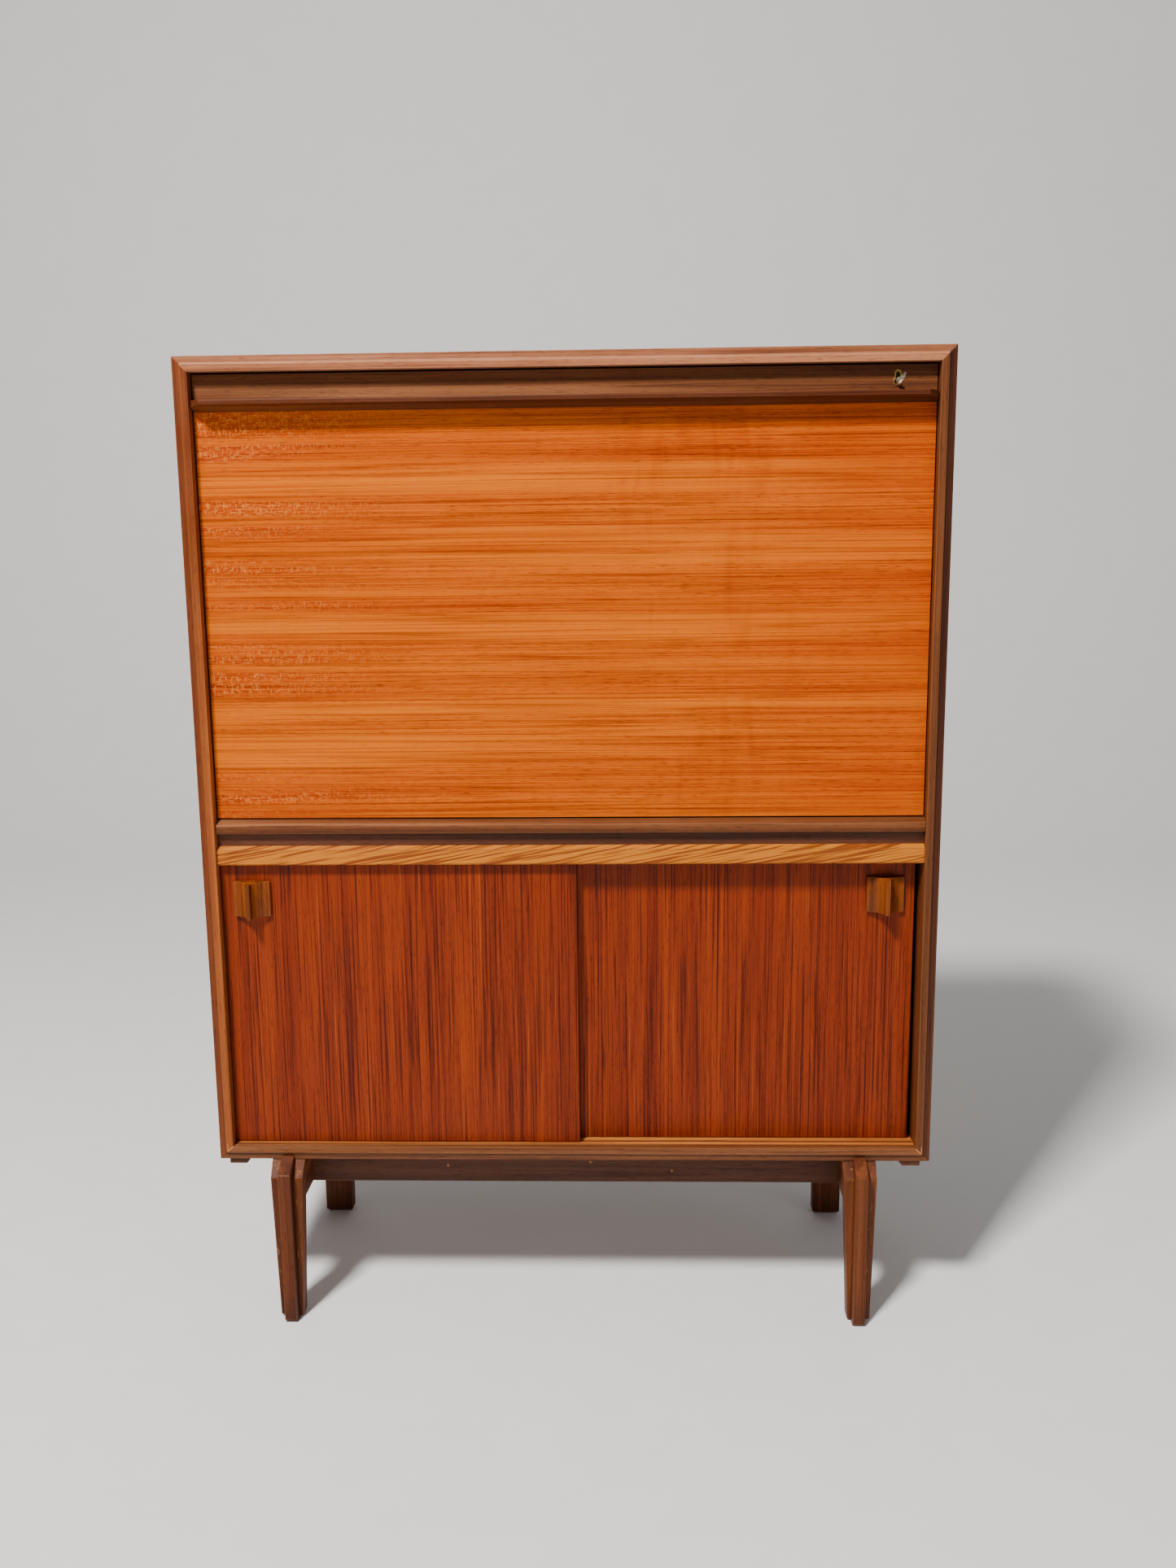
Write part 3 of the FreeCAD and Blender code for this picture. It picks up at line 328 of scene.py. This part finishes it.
def fall_front_graph(seed):
    """Teak with cross-hatched figure and a painted sheen at its left end, and broad golden bands."""
    g = wood_graph("teak_fall", "x", seed)
    ripple = g.noise(g.scaled((0.7, 1.0, 30.0)), detail=4.0, roughness=0.6)
    colour = g.mix(g.level(ripple, 0.48, 0.64, 0.0, 0.55), g.colour, srgb(224, 118, 0))
    fine = g.noise(g.scaled((2.0, 1.0, 700.0)), detail=2.0, roughness=0.6)
    colour = g.darken(colour, g.level(fine, 0.50, 0.60, 0.0, 0.5), srgb(196, 140, 84))
    thin = contour(g, g.noise(g.scaled((0.9, 1.0, 120.0), offset=(2.0, 0.0, 6.0)), detail=2.0), 0.035)
    colour = g.darken(colour, g.math("MULTIPLY", thin, 0.45), srgb(160, 98, 60))
    x = g.axis("x")
    left = g.level(x, -0.43, -0.12, 1.0, 0.0)
    between = g.level(ripple, 0.40, 0.52, 1.0, 0.0)
    upright = g.noise(g.scaled((420.0, 1.0, 150.0)), detail=1.0)
    level = g.noise(g.scaled((130.0, 1.0, 520.0)), detail=1.0)
    hatch_and_sheen = g.math("MAXIMUM", g.level(upright, 0.54, 0.66), g.level(level, 0.54, 0.66))
    figured = g.math("MULTIPLY", left, between)
    hatch_and_sheen = g.math("MULTIPLY", hatch_and_sheen, figured)
    colour = g.darken(colour, g.math("MULTIPLY", figured, 0.6), srgb(226, 166, 140))
    # Painted sheen: the cross-hatched figure is lightened towards pale orange
    colour = g.mix(g.math("MULTIPLY", hatch_and_sheen, 0.4), colour, srgb(246, 156, 66))
    plume = g.noise(g.scaled((26.0, 1.0, 5.0)), detail=3.0, distortion=1.2)
    middle = g.math("MULTIPLY", g.level(x, 0.02, 0.10), g.level(x, 0.16, 0.34, 1.0, 0.0))
    plume = g.math("MULTIPLY", g.level(plume, 0.5, 0.7), middle)
    colour = g.darken(colour, g.math("MULTIPLY", plume, 0.3), srgb(206, 160, 130))
    right = g.level(x, 0.10, 0.42, 0.0, 0.4)
    colour = g.darken(colour, right, srgb(236, 190, 160))
    recolour(g, colour)
    return g


def door_graph(seed):
    """Red-brown teak with upright streaks and a few warmer ones."""
    g = wood_graph("teak_doors", "z", seed)
    streaks = g.noise(g.scaled((70.0, 1.0, 1.6)), detail=3.0, roughness=0.6)
    colour = g.mix(g.level(streaks, 0.54, 0.70, 0.0, 0.15), g.colour, srgb(168, 70, 6))
    colour = g.darken(colour, g.level(streaks, 0.34, 0.48, 0.3, 0.0), srgb(190, 160, 140))
    thin = g.noise(g.scaled((420.0, 1.0, 4.0)), detail=2.0, roughness=0.6)
    colour = g.darken(colour, g.level(thin, 0.55, 0.62, 0.0, 0.75), srgb(136, 96, 80))
    colour = g.mix(g.level(thin, 0.28, 0.36, 0.3, 0.0), colour, srgb(200, 104, 40))
    recolour(g, colour)
    return g


def curly_graph(seed):
    """The lower moulding's wood, with slanting curly stripes."""
    g = wood_graph("walnut_light", "x", seed)
    slant = g.node("ShaderNodeMapping", {"Vector": g.place, "Rotation": (0.0, math.radians(11), 0.0)})
    curl = g.noise(g.scaled((12.0, 10.0, 560.0), slant.outputs[0]), detail=2.0, distortion=0.2)
    colour = g.mix(0.65, g.colour, srgb(226, 136, 34))
    colour = g.darken(colour, g.level(curl, 0.46, 0.60, 0.0, 0.85), srgb(150, 104, 66))
    recolour(g, colour)
    return g


def leg_graph(seed, rubbed):
    """Leg wood, with the finish rubbed through to pale wood in places."""
    g = wood_graph("walnut_leg", "z", seed)
    patches = g.noise(g.scaled((160.0, 160.0, 38.0)), detail=4.0, roughness=0.65)
    low = 0.62 if rubbed else 0.72
    colour = g.mix(g.level(patches, low, low + 0.06, 0.0, 0.6), g.colour, srgb(170, 116, 60))
    foot = g.level(g.axis("z"), 0.0, 0.05, 0.45, 0.0)
    colour = g.darken(colour, foot, srgb(140, 120, 110))
    recolour(g, colour)
    return g


# --- metal ----------------------------------------------------------------------------------------


def metal(name, colour, stain, rough, brushed):
    """A metal with wear: brushed one way, tarnished in spots, scratched."""
    g = Graph(name)
    tarnish = g.noise(g.scaled((260.0, 260.0, 260.0)), detail=4.0, roughness=0.6)
    tarnish = g.level(tarnish, 0.44, 0.68)
    brush = g.noise(g.scaled(stretch(brushed, 90.0, 2600.0)), detail=2.0)
    shade = g.mix(g.math("MULTIPLY", tarnish, 0.75), srgb(*colour), srgb(*stain))
    shade = g.darken(shade, g.level(brush, 0.4, 0.7, 0.0, 0.25), srgb(150, 140, 130))
    g.feed(g.shader.inputs["Base Color"], shade)
    g.shader.inputs["Metallic"].default_value = 1.0
    roughness = g.math("ADD", g.level(tarnish, 0.0, 1.0, rough, rough + 0.2), g.math("MULTIPLY", brush, 0.12))
    g.feed(g.shader.inputs["Roughness"], roughness)
    g.bump(brush, 0.00002, 0.6)
    return g.material


def brass(brushed):
    return metal("brass_" + brushed, (214, 178, 104), (128, 94, 50), 0.24, brushed)


def key_nickel():
    return metal("key_nickel", (222, 212, 192), (150, 128, 92), 0.2, "y")


def zinc():
    return metal("zinc_screws", (188, 188, 184), (120, 118, 112), 0.34, "x")


# --- dressing the CAD pieces --------------------------------------------------------------------


def dress(node, material, arris_material=None, width=ARRIS, segments=2):
    """Give a CAD piece its finish and ease its sharp edges."""
    obj = NODES[node]
    obj.data.materials.clear()
    obj.data.materials.append(material)
    if arris_material:
        obj.data.materials.append(arris_material)
    weld = obj.modifiers.new("weld", "WELD")
    weld.merge_threshold = WELD
    bevel = obj.modifiers.new("arris", "BEVEL")
    bevel.width = width
    bevel.segments = segments
    bevel.limit_method = "ANGLE"
    bevel.angle_limit = math.radians(ARRIS_ANGLE)
    bevel.harden_normals = False
    if arris_material:
        bevel.material = 1
    return obj


def wooden(node, slot, grain, seed, width=ARRIS):
    """Dress a piece in plain wood with lighter arrises, partly worn finish and partly a painted highlight."""
    face = wood_graph(slot, grain, seed)
    arris = wood_graph(slot, grain, seed, worn_and_highlit=True)
    return dress(node, face.material, arris.material, width)


PLAIN_WOOD = {
    "case_side_left": ("walnut_veneer", "z"),
    "case_side_right": ("walnut_veneer", "z"),
    "case_top": ("walnut_veneer", "x"),
    "back_panel": ("plywood", "z"),
    "desk_floor": ("teak_interior", "x"),
    # The mid rail's darker wood is painted shade, for the shade under the upper mid moulding
    "mid_rail": ("walnut_dark", "x"),
    "upper_mid_moulding": ("walnut_brown", "x"),
    "door_top_track": ("walnut_dark", "x"),
    "lower_shelf": ("teak_interior", "x"),
    "side_rail_left": ("walnut_leg", "y"),
    "side_rail_right": ("walnut_leg", "y"),
    "front_apron": ("walnut_dark", "x"),
    "rear_apron": ("walnut_dark", "x"),
    "base_battens": ("walnut_dark", "y"),
    # The top rail and the lip get darker wood than the edge mouldings, as painted shade: the case top shades
    # the rail, and the lip's underside is in shade
    "fall_top_rail": ("walnut_brown", "x"),
    "fall_pull_lip": ("walnut_leg", "x"),
    "gallery_sides": ("teak_interior", "y"),
    "gallery_shelf": ("teak_interior", "x"),
    "gallery_dividers": ("teak_interior", "y"),
    "door_left_pull": ("walnut_light", "z"),
    "door_right_pull": ("walnut_light", "z"),
    "drawer_left_front": ("teak_interior", "x"),
    "drawer_right_front": ("teak_interior", "x"),
    "drawer_left_box": ("drawer_wood", "y"),
    "drawer_right_box": ("drawer_wood", "y"),
    "drawer_left_bottom": ("plywood", "x"),
    "drawer_right_bottom": ("plywood", "x"),
}


# For each side of the case: the moulding's wood, its outward direction, and how strongly painted shade
# darkens its recessed outer band. The top's lighter wood is a painted highlight, and the right's darker
# wood is painted shade.
EDGE_MOULDINGS = {
    "left": ("walnut_solid", (-1, 0), 0.25),
    "right": ("walnut_brown", (1, 0), 0.85),
    "top": ("walnut_sunned", (0, 1), 0.25),
    "bottom": ("walnut_brown", (0, -1), 0.6),
}


def edge_moulding_finish(side, seed, worn_and_highlit):
    """A moulding's wood, with painted shade darkening its recessed outer band."""
    slot, (out_x, out_z), depth = EDGE_MOULDINGS[side]
    g = wood_graph(slot, "z" if out_x else "x", seed, worn_and_highlit)
    low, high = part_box("edge_moulding_" + side)
    across = "x" if out_x else "z"
    outside = getattr(high if out_x + out_z > 0 else low, across)
    inward = g.math("ABSOLUTE", g.math("SUBTRACT", g.axis(across), outside))
    band = g.level(inward, OUTER_BAND, OUTER_BAND + 0.001, depth, 0.0)
    # Painted shade in the recessed outer band, deepest on the right side
    recolour(g, g.darken(g.colour, band, srgb(150, 122, 104)))
    return g.material


def dress_wood():
    """Give every wooden piece its finish."""
    for seed, side in enumerate(EDGE_MOULDINGS):
        face, arris = (edge_moulding_finish(side, seed + 70, worn_and_highlit) for worn_and_highlit in (False, True))
        dress("edge_moulding_" + side, face, arris)
    for seed, (node, (slot, grain)) in enumerate(PLAIN_WOOD.items()):
        wooden(node, slot, grain, seed)
    dress("case_bottom", case_bottom_graph(60).material)
    dress("fall_panel", fall_front_graph(3).material)
    for seed, node in enumerate(("door_left_panel", "door_right_panel")):
        dress(node, door_graph(seed + 5).material)
    dress("lower_mid_moulding", curly_graph(7).material, wood_graph("walnut_light", "x", 7, True).material)
    legs = itertools.product(("core", "cheeks"), ("front", "rear"), ("left", "right"))
    for seed, (part, end, side) in enumerate(legs):
        rubbed = part == "cheeks" and end == "front"
        arris = wood_graph("walnut_leg", "z", seed + 40, worn_and_highlit=True)
        dress(f"leg_{part}_{end}_{side}", leg_graph(seed + 40, rubbed).material, arris.material)


def dress_metal():
    """Give the pivots, stays, lock, key and knobs their metals."""
    along_x = brass("x")
    along_y = brass("y")
    for node in ("pivot_pins", "pivot_bushes", "lock_case", "lock_bolt", "strike_plate"):
        dress(node, along_x, width=FINE_ARRIS)
    for node in ("keyhole_liner", "stay_posts", "stay_brackets", "drawer_left_knob", "drawer_right_knob"):
        dress(node, along_y, width=FINE_ARRIS)
    for side in ("left", "right"):
        dress("stay_arm_" + side, along_y, width=FINE_ARRIS)
        dress("stay_guide_" + side, along_y, width=FINE_ARRIS)
    dress("key", key_nickel(), width=FINE_ARRIS)


# --- small fittings -------------------------------------------------------------------------------


def solid(name, mesh, material, body, place=Matrix.Identity(4)):
    """A bmesh as an object that rides on a CAD body."""
    data = bpy.data.meshes.new(name)
    mesh.to_mesh(data)
    mesh.free()
    data.materials.append(material)
    obj = bpy.data.objects.new(name, data)
    obj.matrix_world = place
    bpy.context.scene.collection.objects.link(obj)
    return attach(obj, body)


def slotted_head(mesh, radius, height, place):
    """Add a slotted screw head to a mesh: its face is at the place, and looks along its Y axis."""
    slot_depth = height * 0.45
    base = bmesh.ops.create_cone(mesh, cap_ends=True, segments=20, radius1=radius * 0.72,
                                 radius2=radius, depth=height - slot_depth)
    middle = Matrix.Translation((0, -(height + slot_depth) / 2, 0))
    stand = place @ middle @ Matrix.Rotation(-math.pi / 2, 4, "X")
    bmesh.ops.transform(mesh, matrix=stand, verts=base["verts"])
    start = math.asin(SCREW_SLOT / 2 / radius)
    for hand in (0, 1):
        arc = [start + (math.pi - 2 * start) * i / 10 + hand * math.pi for i in range(11)]
        rim = [Vector((radius * math.cos(a), 0, radius * math.sin(a))) for a in arc]
        top = [mesh.verts.new(place @ p) for p in rim]
        low = [mesh.verts.new(place @ (p - Vector((0, slot_depth, 0)))) for p in rim]
        mesh.faces.new(top)
        mesh.faces.new(low[::-1])
        for i in range(len(rim)):
            j = (i + 1) % len(rim)
            mesh.faces.new((top[j], top[i], low[i], low[j]))


def screw_heads(name, places, radius, height, material, body, facing=Matrix.Identity(4)):
    """Slotted heads, each with its slot turned another way."""
    mesh = bmesh.new()
    for i, point in enumerate(places):
        turn = Matrix.Rotation(0.7 * i + 0.4, 4, "Y")
        slotted_head(mesh, radius, height, Matrix.Translation(point) @ facing @ turn)
    return solid(name, mesh, material, body)


def back_screws():
    """Slotted heads on the back panel, in place of the CAD screws."""
    low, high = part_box("back_panel_screws")
    case_low, case_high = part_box("case_side_left")[0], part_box("case_side_right")[1]
    bottom = case_low.z + BACK_SCREW_EDGE
    top = case_high.z - BACK_SCREW_EDGE
    side = case_high.x - BACK_SCREW_EDGE
    span = top - bottom - 2 * BACK_SCREW_CORNER
    heights = [bottom + BACK_SCREW_CORNER + i * span / 3 for i in range(4)]
    face = high.y - SCREW_SUNK
    places = [(x, face, z) for x in (-side, side) for z in heights]
    along = (-BACK_SCREW_SPACING, 0.0, BACK_SCREW_SPACING)
    places += [(x, face, z) for x in along for z in (bottom, top)]
    heads = screw_heads("back_screw_heads", places, BACK_SCREW_RADIUS, high.y - low.y, zinc(), "case")
    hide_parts("back_panel_screws")


def fitting_screws():
    """Small brass screws in the stay brackets and in the lock's top plate."""
    brass_heads = brass("z")
    low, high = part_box("stay_brackets")
    face = low.y + BRACKET_PLATE + SCREW_PROUD
    middle = (low.z + high.z) / 2
    across = high.x - BRACKET_SCREW_INSET
    rises = (-BRACKET_SCREW_RISE, BRACKET_SCREW_RISE)
    places = [(x, face, middle + rise) for x in (-across, across) for rise in rises]
    screw_heads("stay_bracket_screws", places, BRACKET_SCREW_RADIUS, BRACKET_PLATE, brass_heads,
                "fall_front")
    low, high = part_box("lock_case")
    top = high.z + SCREW_PROUD
    ends = (low.x + LOCK_SCREW_INSET, high.x - LOCK_SCREW_INSET)
    places = [(x, (low.y + high.y) / 2, top) for x in ends]
    upward = Matrix.Rotation(math.pi / 2, 4, "X")
    screw_heads("lock_screws", places, LOCK_SCREW_RADIUS, LOCK_PLATE, brass_heads, "fall_front",
                upward)


def pale_end_grain():
    """The plugs' wood, paler than the apron."""
    g = wood_graph("walnut_light", "y", 61)
    recolour(g, g.mix(0.4, g.colour, srgb(190, 130, 70)))
    return g.material


def apron_plugs():
    """Small pale plugs in the face of the front apron."""
    low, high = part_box("front_apron")
    mesh = bmesh.new()
    for x, part in ((-0.165, 0.42), (0.022, 0.52), (0.128, 0.30)):
        plug = bmesh.ops.create_cone(mesh, cap_ends=True, segments=18, radius1=PLUG_RADIUS,
                                     radius2=PLUG_RADIUS, depth=PLUG_LENGTH)
        middle = Vector((x, low.y + PLUG_BURIED, low.z + part * (high.z - low.z)))
        place = Matrix.Translation(middle) @ Matrix.Rotation(math.pi / 2, 4, "X")
        bmesh.ops.transform(mesh, matrix=place, verts=plug["verts"])
    solid("apron_plugs", mesh, pale_end_grain(), "case")


def pale_glue():
    """Dried glue that shows in a joint: pale, with darker crumbs."""
    g = Graph("pale_glue")
    crumbs = g.noise(g.scaled((900.0, 900.0, 900.0)), detail=3.0)
    shade = g.mix(g.level(crumbs, 0.4, 0.65), srgb(226, 160, 92), srgb(176, 112, 62))
    g.feed(g.shader.inputs["Base Color"], shade)
    g.feed(g.shader.inputs["Roughness"], g.level(crumbs, 0.3, 0.7, 0.55, 0.75))
    g.bump(crumbs, 0.0001)
    return g.material


def glue_line(mesh, start, end, width, face):
    """Add a thin ribbon on a face that looks forward, from one (x, z) to another."""
    (x0, z0), (x1, z1) = start, end
    length = math.hypot(x1 - x0, z1 - z0)
    side_x, side_z = (z0 - z1) / length * width / 2, (x1 - x0) / length * width / 2
    corners = [(x0 + side_x, z0 + side_z), (x1 + side_x, z1 + side_z),
               (x1 - side_x, z1 - side_z), (x0 - side_x, z0 - side_z)]
    front = [mesh.verts.new((x, face - GLUE_PROUD, z)) for x, z in corners]
    back = [mesh.verts.new((x, face + GLUE_PROUD, z)) for x, z in corners]
    mesh.faces.new(front)
    mesh.faces.new(back[::-1])
    for i in range(4):
        j = (i + 1) % 4
        mesh.faces.new((front[j], front[i], back[i], back[j]))


def glue_lines():
    """Glue that shows where the edge mouldings meet in their lower mitres."""
    low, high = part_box("edge_moulding_bottom")
    inside = high.z - low.z
    mesh = bmesh.new()
    for hand in (-1, 1):
        corner = hand * high.x
        near = (corner - hand * inside * 0.62, low.z + inside * 0.62)
        glue_line(mesh, near, (corner - hand * inside * 0.98, low.z + inside * 0.98), GLUE_WIDTH, low.y)
        upright = corner - hand * inside * 0.60
        stem_top = (upright, near[1] + GLUE_STEM_LENGTH)
        glue_line(mesh, (upright, near[1]), stem_top, GLUE_STEM_WIDTH, low.y)
    solid("mitre_glue", mesh, pale_glue(), "case")


# --- stage ----------------------------------------------------------------------------------------


def floor_finish():
    """Matt near-white, very slightly uneven."""
    g = Graph("studio_floor")
    speckle = g.noise(g.scaled((14.0, 14.0, 14.0)), detail=4.0)
    g.feed(g.shader.inputs["Base Color"], g.mix(speckle, srgb(246, 246, 246), srgb(252, 252, 252)))
    g.feed(g.shader.inputs["Roughness"], g.level(speckle, 0.3, 0.7, 0.75, 0.9))
    return g.material


def floor():
    """A pale floor that curves up into a backdrop."""
    rise, depth, half, sweep = 3.4, 2.4, 5.0, 1.0
    profile = [(-6.0, 0.0)]
    for i in range(13):
        turn = math.radians(90 * i / 12)
        profile.append((depth + sweep * math.sin(turn), sweep - sweep * math.cos(turn)))
    profile.append((depth + sweep, rise))
    mesh = bmesh.new()
    rows = [[mesh.verts.new((x, y, z)) for x in (-half, half)] for y, z in profile]
    for (a, b), (c, d) in zip(rows, rows[1:]):
        face = mesh.faces.new((a, b, d, c))
        face.smooth = True
    data = bpy.data.meshes.new("studio_floor")
    mesh.to_mesh(data)
    mesh.free()
    data.materials.append(floor_finish())
    obj = bpy.data.objects.new("studio_floor", data)
    bpy.context.scene.collection.objects.link(obj)


def lamp(name, place, target, size, power, colour):
    data = bpy.data.lights.new(name, "AREA")
    data.shape = "RECTANGLE"
    data.size, data.size_y = size
    data.energy = power
    data.color = colour
    obj = bpy.data.objects.new(name, data)
    obj.location = place
    obj.rotation_euler = (Vector(target) - Vector(place)).to_track_quat("-Z", "Y").to_euler()
    bpy.context.scene.collection.objects.link(obj)


def lights():
    """A soft key light from the upper left, a weak fill from the right, and a plain sky."""
    lamp("key_light", (-1.25, -2.45, 4.1), (0.0, -0.1, 0.65), (0.6, 0.6), 320.0, (1.0, 0.96, 0.90))
    lamp("fill_light", (2.6, -2.4, 1.6), (0.0, 0.0, 0.6), (2.4, 2.4), 9.0, (0.95, 0.97, 1.0))
    world = bpy.data.worlds.new("studio")
    world.use_nodes = True
    sky = world.node_tree.nodes["Background"]
    sky.inputs["Color"].default_value = (1.0, 1.0, 1.0, 1.0)
    sky.inputs["Strength"].default_value = 0.18
    bpy.context.scene.world = world


def camera():
    """A camera a little above the middle of the fall front, turned slightly down and left."""
    pitch, yaw, roll = (math.radians(a) for a in (CAMERA_PITCH, CAMERA_YAW, CAMERA_ROLL))
    turn = Matrix.Rotation(yaw, 4, "Z") @ Matrix.Rotation(math.pi / 2 - pitch, 4, "X")
    data = bpy.data.cameras.new("camera")
    data.lens = CAMERA_LENS
    data.sensor_width = CAMERA_SENSOR
    data.sensor_fit = "AUTO"
    obj = bpy.data.objects.new("camera", data)
    obj.matrix_world = Matrix.Translation(CAMERA_PLACE) @ turn @ Matrix.Rotation(roll, 4, "Z")
    bpy.context.scene.collection.objects.link(obj)
    bpy.context.scene.camera = obj


dress_wood()
dress_metal()
back_screws()
fitting_screws()
apron_plugs()
glue_lines()
floor()
lights()
camera()
